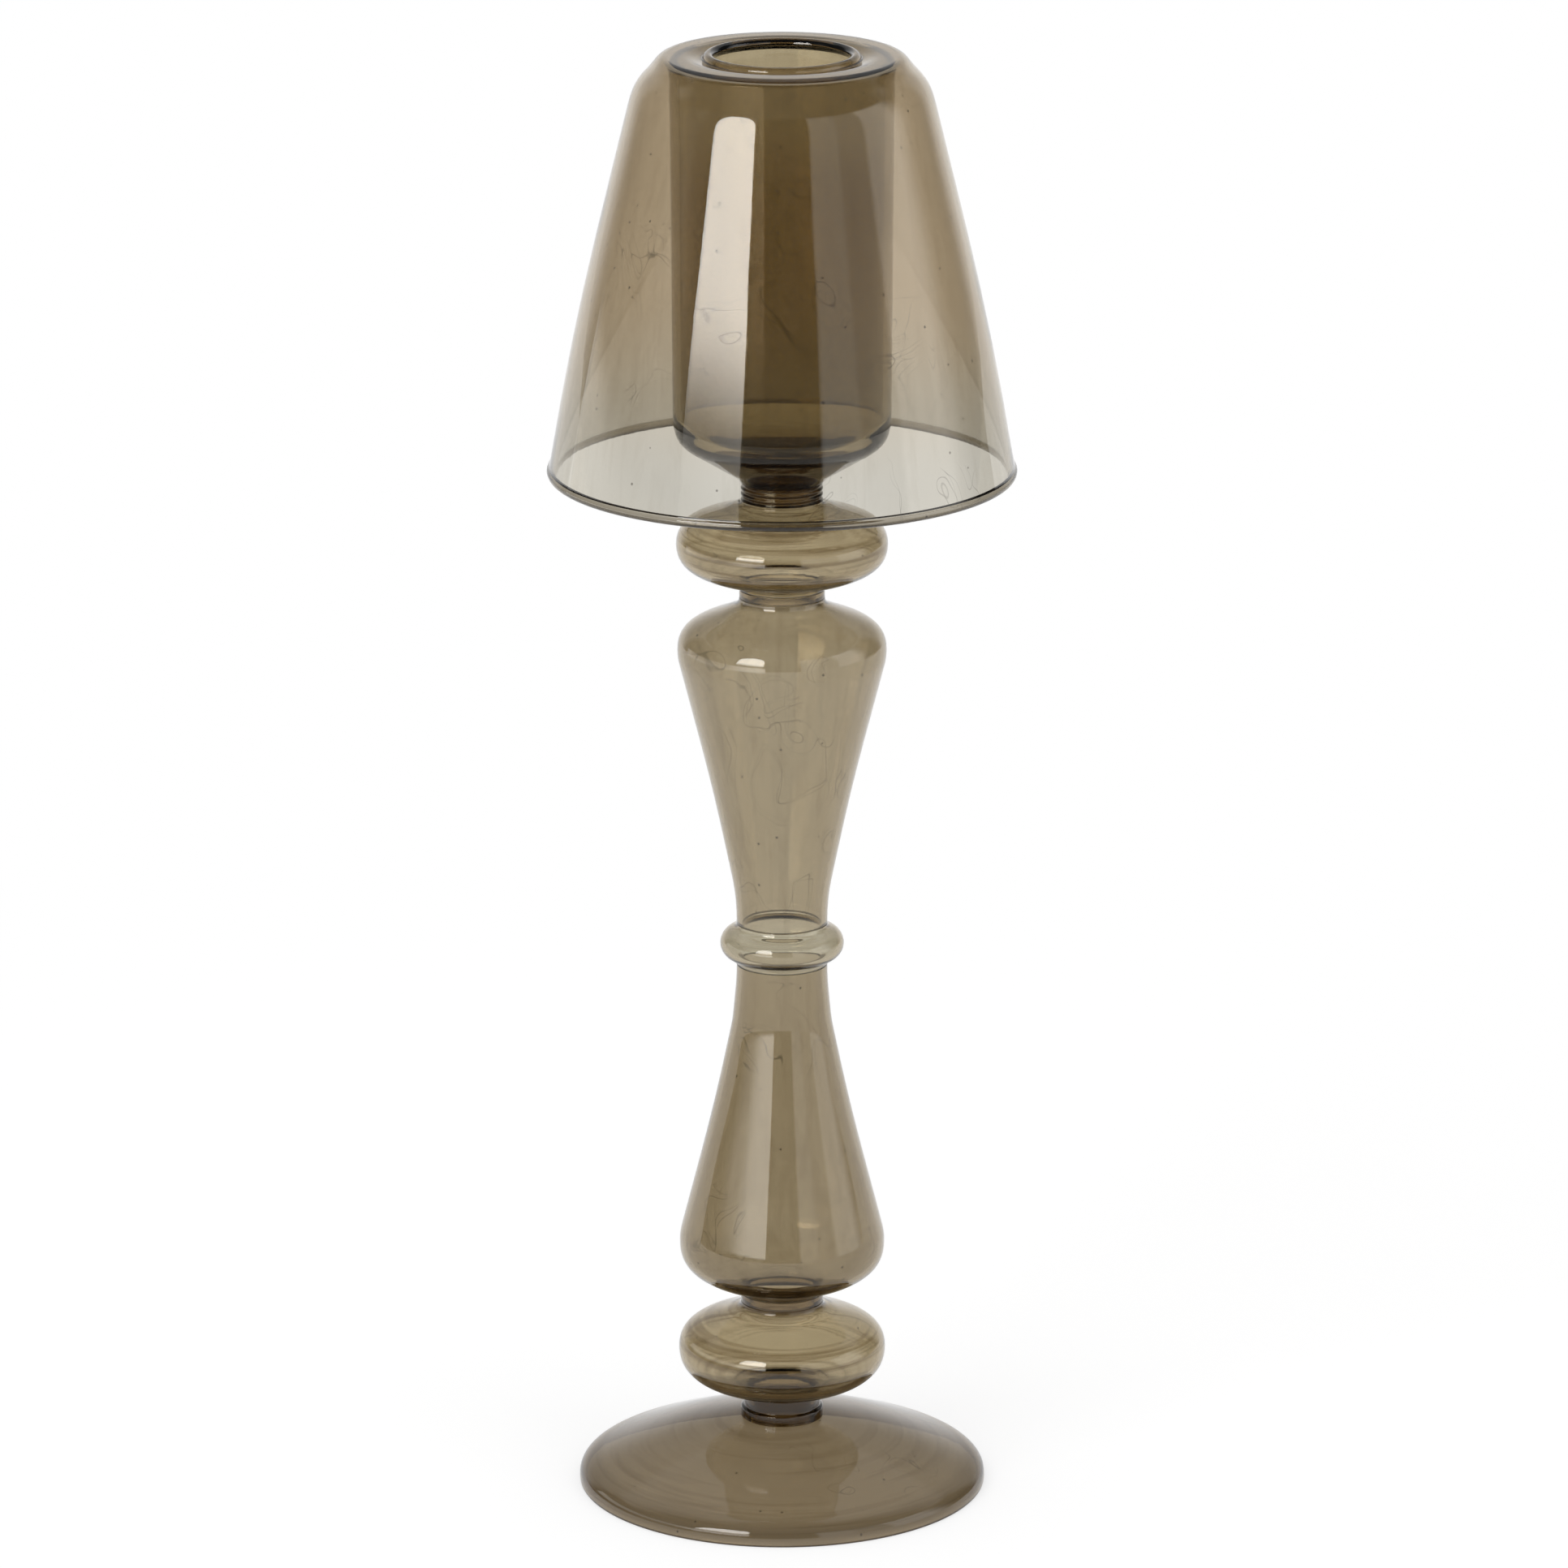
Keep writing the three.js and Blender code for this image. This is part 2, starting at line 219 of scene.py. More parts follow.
SHARP_TURN = math.radians(35)
EDGE_SEGMENTS = 3
SAME_PLACE = 0.002 * MM


def shining_normals(turned):
    """Normals led by the larger faces, so that a small rounding doesn't bend its wall's shine"""
    turned.normal_update()
    normals = []
    for point in turned.verts:
        weighed = (face.normal * face.calc_area() for face in point.link_faces)
        normals.append(sum(weighed, Vector()).normalized())
    return normals


def blown(name, section, material, node, body):
    """Turns a closed section about the axis into a finished piece that stands for its node"""
    sizes = bpy.context.scene.glass_sizes
    turned = bmesh.new()
    ring = [turned.verts.new((point.x * MM, 0, point.y * MM)) for point in section]
    pairs = zip(ring, ring[1:] + ring[:1])
    edges = [turned.edges.new(pair) for pair in pairs if pair[0].co.x + pair[1].co.x > SAME_PLACE]
    bmesh.ops.spin(
        turned,
        geom=ring + edges,
        cent=(0, 0, 0),
        axis=(0, 0, 1),
        angle=FULL_TURN,
        steps=sizes.segments,
        use_merge=True,
    )
    bmesh.ops.remove_doubles(turned, verts=turned.verts, dist=SAME_PLACE)
    bmesh.ops.recalc_face_normals(turned, faces=turned.faces)
    sharp = [edge for edge in turned.edges if edge.calc_face_angle(0) > SHARP_TURN]
    bmesh.ops.bevel(
        turned,
        geom=sharp,
        offset=sizes.edge,
        offset_type="OFFSET",
        segments=EDGE_SEGMENTS,
        profile=0.5,
        affect="EDGES",
        material=-1,
        clamp_overlap=True,
    )
    for face in turned.faces:
        face.smooth = True
    mesh = bpy.data.meshes.new(name)
    turned.to_mesh(mesh)
    mesh.normals_split_custom_set_from_vertices(shining_normals(turned))
    turned.free()
    mesh.materials.append(material)
    piece = bpy.data.objects.new(name, mesh)
    bpy.context.scene.collection.objects.link(piece)
    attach(piece, body)
    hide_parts(node)
    return piece


# Materials


class Value:
    """A number socket of a material that takes Python's arithmetic"""

    def __init__(self, graph, socket):
        self.graph = graph
        self.socket = socket

    def maths(self, operation, *others):
        return self.graph.maths(operation, self, *others)

    def __add__(self, other):
        return self.maths("ADD", other)

    def __sub__(self, other):
        return self.maths("SUBTRACT", other)

    def __rsub__(self, other):
        return self.graph.maths("SUBTRACT", other, self)

    def __mul__(self, other):
        return self.maths("MULTIPLY", other)

    def __truediv__(self, other):
        return self.maths("DIVIDE", other)

    def __gt__(self, other):
        return self.maths("GREATER_THAN", other)


class Graph:
    """The nodes of one material or world, with the type of node that ends it"""

    def __init__(self, tree, ending):
        self.tree = tree
        self.ending = ending
        self.tree.nodes.clear()

    def node(self, kind, settings=None, **sockets):
        """Adds a node, sets its settings, and then the values or links of its named sockets"""
        made = self.tree.nodes.new(kind)
        for name, setting in (settings or {}).items():
            setattr(made, name, setting)
        for name, given in sockets.items():
            self.give(made.inputs[name.replace("_", " ")], given)
        return made

    def give(self, socket, given):
        if isinstance(given, Value):
            given = given.socket
        if isinstance(given, bpy.types.NodeSocket):
            self.tree.links.new(given, socket)
        else:
            socket.default_value = given

    def maths(self, operation, *numbers):
        made = self.tree.nodes.new("ShaderNodeMath")
        made.operation = operation
        for socket, number in zip(made.inputs, numbers):
            self.give(socket, number)
        return Value(self, made.outputs[0])

    def mixed(self, factor, first, second, blend="MIX"):
        """A colour between two colours"""
        made = self.tree.nodes.new("ShaderNodeMix")
        made.data_type = "RGBA"
        made.blend_type = blend
        for name, given in (("Factor_Float", factor), ("A_Color", first), ("B_Color", second)):
            socket = next(each for each in made.inputs if each.identifier == name)
            self.give(socket, given)
        return next(each for each in made.outputs if each.identifier == "Result_Color")

    def eased(self, number, start, end, low=0.0, high=1.0):
        """A number taken smoothly from one range to another"""
        made = self.node(
            "ShaderNodeMapRange",
            {"interpolation_type": "SMOOTHSTEP"},
            Value=number,
            From_Min=start,
            From_Max=end,
            To_Min=low,
            To_Max=high,
        )
        return Value(self, made.outputs[0])

    def seen(self):
        """1 for what the camera sees straight or through glass, and 0 for what lights the scene"""
        camera, glossy, through = self.rays("Camera", "Glossy", "Transmission")
        return self.maths("MAXIMUM", self.maths("MAXIMUM", camera, glossy), through)

    def rays(self, *kinds):
        """For each kind of ray, 1 where the ray is of that kind and 0 elsewhere"""
        outputs = self.node("ShaderNodeLightPath").outputs
        return [Value(self, outputs[f"Is {kind} Ray"]) for kind in kinds]

    def place(self):
        """Where a point lies on the object, in metres"""
        return self.node("ShaderNodeTexCoord").outputs["Object"]

    def stretched(self, place, across, up):
        """A place with its sideways and upward measures scaled apart"""
        return self.node("ShaderNodeMapping", Vector=place, Scale=(across, across, up)).outputs[0]

    def noise(self, place, scale, detail=2.0, distortion=0.0):
        inputs = {"Vector": place, "Scale": scale, "Detail": detail, "Distortion": distortion}
        return Value(self, self.node("ShaderNodeTexNoise", **inputs).outputs[0])

    def parts(self, place):
        """The X, Y and Z of a place"""
        outputs = self.node("ShaderNodeSeparateXYZ", Vector=place).outputs
        return [Value(self, outputs[name]) for name in "XYZ"]

    def red(self, colour):
        """The first part of a colour"""
        return Value(self, self.node("ShaderNodeSeparateColor", Color=colour).outputs[0])

    def between(self, factor, first, second):
        """A surface between two surfaces"""
        both = self.node("ShaderNodeMixShader", Fac=factor)
        self.give(both.inputs[1], first.outputs[0])
        self.give(both.inputs[2], second.outputs[0])
        return both

    def shown(self, surface, **others):
        """Ends the material or world with its surface"""
        self.node(self.ending, Surface=surface.outputs[0], **others)


def new_material(name):
    material = bpy.data.materials.new(name)
    material.use_nodes = True
    return material, Graph(material.node_tree, "ShaderNodeOutputMaterial")


def rgba(colour):
    return (*colour, 1.0)


# Seeds are tiny dark grains in the glass: how many cells a metre, how big in a cell, how rare
SEED_CELLS = 160
SEED_SIZE = 0.085
SEED_CORE = 0.6
SEED_SHARE = 0.75
SEED_STRENGTH = 0.85

# Hairs are fine scratches: how often they wind in a metre, how wide they are, where they show
HAIR_TURNS = 34
HAIR_CURL = 1.5
HAIR_WIDTH = 0.004
HAIR_PATCHES = 24
HAIR_SHARE = (0.53, 0.57)
HAIR_STRENGTH = 0.5
MARK_TONE = (0.03, 0.025, 0.02, 1.0)

# Streaks in waves a metre across and up: long ones where the glass was drawn, rings where turned
DRAWN = (260, 7)
TURNED = (14, 800)
STREAK_DETAIL = 3.0
STREAK_WANDER = 0.4
STREAK_TONE = (0.45, 0.38, 0.28, 1.0)
STREAK_SPAN = (0.5, 0.68)

# Clouds are slow changes of tint, in waves a metre
CLOUDS = 28.0
CLOUD_SPAN = (0.3, 0.7)
CLOUD_STRENGTH = 0.1
CLOUD_TONE = (0.62, 0.58, 0.5, 1.0)

# Smears dull the polish a little, and swells are the slow waves of a blown surface
SMEARS = (45, 20)
SMEAR_DETAIL = 4.0
SMEAR_SPAN = (0.45, 0.75)
POLISH = (0.012, 0.035)
SWELLS = 26.0

# A sealed seam, and a rim's painted shade line, look darkest within the core and darker as far as
# the reach, in millimetres
SEAM_AND_SHADE_REACH = 3.0
SEAM_AND_SHADE_CORE = 0.6
SEAM_AND_SHADE_TONE = (0.2, 0.15, 0.08, 1.0)

GLASS_IOR = 1.5

# What the smoke in the glass takes out of light on its way through, for each metre
GLASS_BODY = (0.426, 0.288, 0.0, 1.0)
GLASS_DEPTH = 300


def seeds(graph, place):
    """1 where a grain or a small bubble lies in the glass, and 0 elsewhere"""
    cells = graph.node("ShaderNodeTexVoronoi", {"feature": "F1"}, Vector=place, Scale=SEED_CELLS)
    kept = graph.red(cells.outputs["Color"]) > SEED_SHARE
    near = graph.eased(cells.outputs["Distance"], SEED_SIZE, SEED_SIZE * SEED_CORE)
    return near * kept


def hairs(graph, place):
    """1 along a hair-fine scratch, and 0 elsewhere"""
    winding = graph.noise(place, HAIR_TURNS, 1.0, HAIR_CURL)
    line = graph.eased(graph.maths("ABSOLUTE", winding - 0.5), HAIR_WIDTH, 0.0)
    return line * graph.eased(graph.noise(place, HAIR_PATCHES, 0.0), *HAIR_SHARE)


def near_seams_and_shade_lines(graph, height, seam_and_shade_heights):
    """1 at each of the heights given, which are sealed seam joints and painted shade lines along
    rims, and 0 from their reach away
    """
    nearness = 0.0
    for seam in seam_and_shade_heights:
        away = graph.maths("ABSOLUTE", height - seam * MM)
        near = graph.eased(away, SEAM_AND_SHADE_REACH * MM, SEAM_AND_SHADE_CORE * MM)
        nearness = graph.maths("MAXIMUM", nearness, near)
    return nearness


def smoked_glass(
    name,
    colour,
    grain,
    streaky=0.15,
    wavy=0.06,
    ripple=0.008,
    fade=None,
    seam_and_shade_heights=(),
    sealed=1.0,
    depth=GLASS_DEPTH,
):
    """Smoked glass with streaks, clouds, grains and hairs in its tint and waves in its surface.

    The grain is DRAWN or TURNED; fade gives a second colour for the lower end of a span of
    heights; seam_and_shade_heights are the heights where the tint darkens, at sealed seam joints
    and as painted shade along a rim, and sealed is how dark they look; depth is how dense the
    smoke is.
    """
    material, graph = new_material(name)
    place = graph.place()
    height = graph.parts(place)[2]
    streaks = graph.noise(graph.stretched(place, *grain), 1.0, STREAK_DETAIL, STREAK_WANDER)
    clouds = graph.noise(place, CLOUDS)
    base = rgba(colour)
    if fade is not None:
        second, low, high = fade
        base = graph.mixed(graph.eased(height, low * MM, high * MM), rgba(second), base)
    streaked = graph.eased(streaks, *STREAK_SPAN, 0.0, streaky)
    base = graph.mixed(streaked, base, STREAK_TONE, "MULTIPLY")
    clouded = graph.eased(clouds, *CLOUD_SPAN, 0.0, CLOUD_STRENGTH)
    base = graph.mixed(clouded, base, CLOUD_TONE, "MULTIPLY")
    # Darkens the tint at sealed seam joints, and paints shade along a rim: the dark line a thick
    # bead shows where light bends through it
    if seam_and_shade_heights:
        base = graph.mixed(near_seams_and_shade_lines(graph, height, seam_and_shade_heights) * sealed, base, SEAM_AND_SHADE_TONE, "MULTIPLY")
    grains = seeds(graph, place) * SEED_STRENGTH
    marks = graph.maths("MAXIMUM", grains, hairs(graph, place) * HAIR_STRENGTH)
    tinted = graph.mixed(marks, base, MARK_TONE)
    smears = graph.noise(graph.stretched(place, *SMEARS), 1.0, SMEAR_DETAIL)
    relief = streaks * ripple + graph.noise(place, SWELLS, 1.0) * wavy
    bump = graph.node("ShaderNodeBump", Height=relief, Strength=1.0, Distance=MM)
    glass = graph.node(
        "ShaderNodeBsdfPrincipled",
        {"distribution": "GGX"},
        Base_Color=tinted,
        Roughness=graph.eased(smears, *SMEAR_SPAN, *POLISH),
        IOR=GLASS_IOR,
        Transmission_Weight=1.0,
        Normal=bump.outputs[0],
    )
    body = graph.node("ShaderNodeVolumeAbsorption", Color=GLASS_BODY, Density=depth)
    graph.shown(glass, Volume=body.outputs[0])
    return material


# The stem


FOOT_LIP_HEIGHT = 1.8
# Height of the painted shade line, a dark band along the foot's rim just above its lip
FOOT_PAINTED_SHADE_LINE = 3.6
FOOT_REST_WIDTH = 1.0
FOOT_EDGE_WIDTH = 7.6
FOOT_EDGE_RISE = 8.3
FOOT_EDGE_SLOPE = 22
FOOT_CROWN_SLOPE = 9


class CANDLE_OT_foot(bpy.types.Operator):
    """Blow the domed foot with its fire-polished rim"""

    bl_idname = "candle.foot"
    bl_label = "Foot"

    def execute(self, context):
        sizes = context.scene.glass_sizes
        wall = sizes.foot_wall / MM
        floor_level, top, radius = levels("foot")
        top -= sizes.seam / MM / 2
        collar = levels("foot_neck")[2]
        middle = radius - wall / 2
        rim = Outline(middle + FOOT_REST_WIDTH / 2, floor_level)
        rim.bend(0, radius, floor_level + FOOT_LIP_HEIGHT, 90)
        dome = Outline(radius, floor_level + FOOT_LIP_HEIGHT)
        dome.bend(90, radius - FOOT_EDGE_WIDTH, floor_level + FOOT_EDGE_RISE, 180 - FOOT_EDGE_SLOPE)
        dome.bend(180 - FOOT_EDGE_SLOPE, collar, top, 180 - FOOT_CROWN_SLOPE)
        under = dome.inside(wall)
        under[0].y = floor_level + FOOT_LIP_HEIGHT
        under[-1].y = top - wall
        inner_rim = Outline(radius - wall, floor_level + FOOT_LIP_HEIGHT)
        inner_rim.bend(270, middle - FOOT_REST_WIDTH / 2, floor_level, 360)
        section = [Vector((0, top - wall))] + under[::-1] + inner_rim.points[1:]
        section += rim.points + dome.points[1:] + [Vector((0, top))]
        tints = context.scene.glass_tints
        material = smoked_glass(
            "foot_glass",
            tints.foot,
            TURNED,
            streaky=0.4,
            ripple=0.01,
            # Painted shade: a dark band along the foot's rim, as light bent through the thick rim
            # looks, darkened here as a seam joint is
            seam_and_shade_heights=(floor_level + FOOT_PAINTED_SHADE_LINE,),
            sealed=0.5,
        )
        blown("blown_foot", section, material, "foot", "holder")
        return {"FINISHED"}


COLLAR_HEIGHT = 2.8
COLLAR_SHOULDER = 1.0


class CANDLE_OT_seals(bpy.types.Operator):
    """Make the three thick necks where the blown sections are flame sealed"""

    bl_idname = "candle.seals"
    bl_label = "Seals"

    def execute(self, context):
        sizes = context.scene.glass_sizes
        tints = context.scene.glass_tints
        wall = sizes.seal_wall / MM
        half = sizes.seam / MM / 2
        lower = smoked_glass("seal_glass", tints.low_seal, TURNED, streaky=0.5, ripple=0.015)
        upper = smoked_glass("upper_seal_glass", tints.seal, TURNED, streaky=0.5, ripple=0.015)
        base, top, collar = levels("foot_neck")
        neck = NECK_ABOVE_FOOT
        step = Outline(collar, base + half)
        step.line(collar, base + COLLAR_HEIGHT)
        step.bend(90, neck, base + COLLAR_HEIGHT + COLLAR_SHOULDER, 90)
        step.line(neck, top - half)
        bore = neck - wall
        section = step.points + [Vector((bore, top - half)), Vector((bore, base + half))]
        blown("sealed_foot_neck", section, lower, "foot_neck", "holder")
        for node, material in (("lower_neck", lower), ("upper_neck", upper)):
            base, top, radius = levels(node)
            tube = Outline(radius, base + half)
            tube.line(radius, top - half)
            blown(f"sealed_{node}", tube.walled(wall), material, node, "holder")
        return {"FINISHED"}


# A bulb's flares: how far they reach out from a neck, and their slope at its foot side and top side
NECK_ABOVE_FOOT = 11.7
FLARE_WIDTH = 3.8
FOOT_SIDE_SLOPE = 20
TOP_SIDE_SLOPE = 25

# Each bead: its necks below and above, its waist's height, its flares, and how dark its seams are
BEADS = {
    "lower_bead": {
        "necks": (NECK_ABOVE_FOOT, "lower_neck"),
        "waist": 15.0,
        "flares": (1.4, 3.0),
        "sealed": 1.0,
    },
    "upper_bead": {
        "necks": ("upper_neck", "cup_neck"),
        "waist": 14.0,
        "flares": (2.2, 2.6),
        "sealed": 0.1,
    },
}


def neck_radius(neck):
    """A neck's radius, given as a number or as the node that makes it"""
    return levels(neck)[2] if isinstance(neck, str) else neck


def open_out(outline, flare, radius, height):
    """Opens an outline from a neck, by a flare, to the widest circle of a bulb"""
    neck = outline.points[-1]
    outline.bend(90, neck.x + FLARE_WIDTH, neck.y + flare, FOOT_SIDE_SLOPE)
    outline.bend(FOOT_SIDE_SLOPE, radius, height, 90)


def close_in(outline, flare, neck, top):
    """Closes an outline from the widest circle of a bulb, by a flare, to a neck"""
    outline.bend(90, neck + FLARE_WIDTH, top - flare, 180 - TOP_SIDE_SLOPE)
    outline.bend(180 - TOP_SIDE_SLOPE, neck, top, 90)


class CANDLE_OT_beads(bpy.types.Operator):
    """Blow the two flattened hollow beads"""

    bl_idname = "candle.beads"
    bl_label = "Beads"

    def execute(self, context):
        sizes = context.scene.glass_sizes
        tints = context.scene.glass_tints
        wall = sizes.bulb_wall / MM
        half = sizes.seam / MM / 2
        for node, shape in BEADS.items():
            base, top, radius = levels(node)
            lower_neck, upper_neck = (neck_radius(neck) for neck in shape["necks"])
            lower_flare, upper_flare = shape["flares"]
            material = smoked_glass(
                f"{node}_glass",
                tints.bead,
                TURNED,
                streaky=0.8,
                ripple=0.012,
                seam_and_shade_heights=(base, top),
                sealed=shape["sealed"],
            )
            outline = Outline(lower_neck, base + half)
            open_out(outline, lower_flare, radius, base + shape["waist"])
            close_in(outline, upper_flare, upper_neck, top - half)
            blown(f"blown_{node}", outline.walled(wall), material, node, "holder")
        return {"FINISHED"}


# Slopes of the vases' cones, at their wide end and at their throat, and of the lower vase's throat
TUBE_RADIUS = 13.9
CONE_SLOPE = 75.7
CONE_TIP_SLOPE = 78.5
THROAT_SLOPE = 85

# The lower vase: heights above its base, with the radius at each
LOWER_FLARE = 2.5
LOWER_BELLY = 16.2
LOWER_CONE_START = (30.9, 21.8)
LOWER_CONE_END = (16.1, 83.8)
LOWER_THROAT = (14.85, 91.8)

# Heights between which the vases' tint pales upwards
VASE_SPAN = (150.0, 185.0)

# The upper vase, in the same way
UPPER_FLARE = 3.8
UPPER_CONE_START = (16.85, 22.0)
UPPER_CONE_END = (30.65, 79.8)
UPPER_SHOULDER = 86.7


class CANDLE_OT_vases(bpy.types.Operator):
    """Blow the two long hollow vases of the stem"""

    bl_idname = "candle.vases"
    bl_label = "Vases"

    def execute(self, context):
        sizes = context.scene.glass_sizes
        wall = sizes.bulb_wall / MM
        half = sizes.seam / MM / 2
        tints = context.scene.glass_tints
        seam_and_shade_heights = (levels("lower_vase")[0], levels("upper_vase")[1])
        fade = (tints.lower_vase, *VASE_SPAN)
        material = smoked_glass("vase_glass", tints.vase, DRAWN, fade=fade, seam_and_shade_heights=seam_and_shade_heights, sealed=0.5)
        base, top, radius = levels("lower_vase")
        lower = Outline(neck_radius("lower_neck"), base + half)
        open_out(lower, LOWER_FLARE, radius, base + LOWER_BELLY)
        cone, tip, throat = (180 - slope for slope in (CONE_SLOPE, CONE_TIP_SLOPE, THROAT_SLOPE))
        lower.bend(90, LOWER_CONE_START[0], base + LOWER_CONE_START[1], cone)
        lower.bend(cone, LOWER_CONE_END[0], base + LOWER_CONE_END[1], tip)
        lower.bend(tip, LOWER_THROAT[0], base + LOWER_THROAT[1], throat)
        lower.bend(throat, TUBE_RADIUS, top - half, 90)
        base, top, radius = levels("upper_vase")
        upper = Outline(TUBE_RADIUS, base + half)
        upper.bend(90, UPPER_CONE_START[0], base + UPPER_CONE_START[1], CONE_TIP_SLOPE)
        upper.bend(CONE_TIP_SLOPE, UPPER_CONE_END[0], base + UPPER_CONE_END[1], CONE_SLOPE)
        upper.bend(CONE_SLOPE, radius, base + UPPER_SHOULDER, 90)
        close_in(upper, UPPER_FLARE, neck_radius("upper_neck"), top - half)
        for node, outline in (("lower_vase", lower), ("upper_vase", upper)):
            blown(f"blown_{node}", outline.walled(wall), material, node, "holder")
        return {"FINISHED"}


RING_BULGE = 4.7
RING_ARC = 60


class CANDLE_OT_ring(bpy.types.Operator):
    """Make the round ring where the two throats meet"""

    bl_idname = "candle.ring"
    bl_label = "Middle ring"

    def execute(self, context):
        sizes = context.scene.glass_sizes
        tints = context.scene.glass_tints
        wall = sizes.bulb_wall / MM
        half = sizes.seam / MM / 2
        base, top, radius = levels("middle_ring")
        centre = Vector((radius - RING_BULGE, (base + top) / 2))
        start = centre + towards(-RING_ARC) * RING_BULGE
        outline = Outline(TUBE_RADIUS, base + half)
        outline.bend(90, start.x, start.y, 90 - RING_ARC)
        outline.points.pop()
        outline.arc(centre, RING_BULGE, -RING_ARC, RING_ARC)
        outline.bend(90 + RING_ARC, TUBE_RADIUS, top - half, 90)
        material = smoked_glass("ring_glass", tints.ring, TURNED, streaky=0.05, ripple=0.004)
        blown("blown_ring", outline.walled(wall), material, "middle_ring", "holder")
        return {"FINISHED"}


# The cup and its seal


CUP_SEAL_RINGS = 3
CUP_SEAL_RING_DEPTH = 0.3
CUP_SEAL_RING_STEPS = 16

CUP_HEEL_RADIUS = 33.0
CUP_HEEL_HEIGHT = 22.0
CUP_FLOOR_HEIGHT = 12.5
CUP_FLOOR_RADIUS = 20.0
CUP_TAPER_START = (6.5, 4.9)
CUP_TAPER_SLOPE = 32
CUP_TAPER_LENGTH = 11.0
CUP_SEAL_SLOPE = 50

# Heights between which the cup's tint pales towards its rim, and the smoke in its heavy glass
CUP_PALE_SPAN = (405.0, 435.0)
CUP_DEPTH = 90


class CANDLE_OT_cup_seal(bpy.types.Operator):
    """Make the thick dark seal with fine rings under the cup"""

    bl_idname = "candle.cup_seal"
    bl_label = "Cup seal"

    def execute(self, context):
        sizes = context.scene.glass_sizes
        tints = context.scene.glass_tints
        half = sizes.seam / MM / 2
        base, top, radius = levels("cup_neck")
        bore = radius - sizes.seal_wall / MM - CUP_SEAL_RING_DEPTH
        steps = CUP_SEAL_RINGS * CUP_SEAL_RING_STEPS
        outline = Outline(radius, base + half)
        for step in range(1, steps):
            groove = (1 - math.cos(FULL_TURN * step / CUP_SEAL_RING_STEPS)) / 2
            outline.line(radius - CUP_SEAL_RING_DEPTH * groove, base + (top - base) * step / steps)
        outline.line(radius, top - half)
        section = outline.points + [Vector((bore, top - half)), Vector((bore, base + half))]
        material = smoked_glass(
            "dark_seal_glass",
            tints.dark_seal,
            TURNED,
            streaky=0.6,
            ripple=0.02,
        )
        blown("sealed_cup_neck", section, material, "cup_neck", "holder")
        return {"FINISHED"}


class CANDLE_OT_cup(bpy.types.Operator):
    """Blow the straight candle cup with its heavy base"""

    bl_idname = "candle.cup"
    bl_label = "Cup"

    def execute(self, context):
        sizes = context.scene.glass_sizes
        tints = context.scene.glass_tints
        wall = sizes.cup_wall / MM
        base, rim, radius = levels("cup")
        base += sizes.seam / MM / 2
        neck = neck_radius("cup_neck")
        heel = base + CUP_HEEL_HEIGHT
        taper = Vector((neck + CUP_TAPER_START[0], base + CUP_TAPER_START[1]))
        outline = Outline(0, base)
        outline.line(neck, base)
        outline.bend(CUP_SEAL_SLOPE, taper.x, taper.y, CUP_TAPER_SLOPE)
        outline.line(*(taper + towards(CUP_TAPER_SLOPE) * CUP_TAPER_LENGTH))
        outline.bend(CUP_TAPER_SLOPE, CUP_HEEL_RADIUS, heel, 90)
        outline.arc(Vector((radius - wall / 2, rim - wall / 2)), wall / 2, 0, 180)
        outline.line(CUP_HEEL_RADIUS - wall, heel)
        outline.bend(270, CUP_FLOOR_RADIUS, base + CUP_FLOOR_HEIGHT, 180)
        outline.line(0, base + CUP_FLOOR_HEIGHT)
        material = smoked_glass(
            "cup_glass",
            tints.cup_rim,
            DRAWN,
            wavy=0.1,
            fade=(tints.cup, *CUP_PALE_SPAN),
            depth=CUP_DEPTH,
        )
        blown("blown_cup", outline.points, material, "cup", "holder")
        return {"FINISHED"}


# The shade


SHADE_RIM_BEAD = 1.5
SHADE_RIM_STAND = 0.85
SHADE_CONE_RADIUS = 46.4
SHADE_CONE_DROP = 16.3
SHADE_SHOULDER_RADIUS = 40.5
SHADE_SHOULDER_DROP = 4.7
SHADE_SHOULDER_SLOPE = 45
SHADE_CREST_RADIUS = 34.4
SHADE_SEAT_RADIUS = 30.2
SHADE_HOLE_RADIUS = 20.3
SHADE_HOLE_BEAD = 1.7
SHADE_HOLE_FILLET = 0.4
SHADE_DISH = 0.9
SHADE_DISH_HEADING = 190
SHADE_RIM_SLOPE = 80.4
SHADE_CONE_SLOPE = 76.3
SHADE_RIM_ARC = (120, 400)
SHADE_HOLE_ARC = (10, 290)

# Heights between which the shade's tint pales towards its rim, and the smoke in its glass
SHADE_PALE_SPAN = (330.0, 372.0)
SHADE_DEPTH = 170


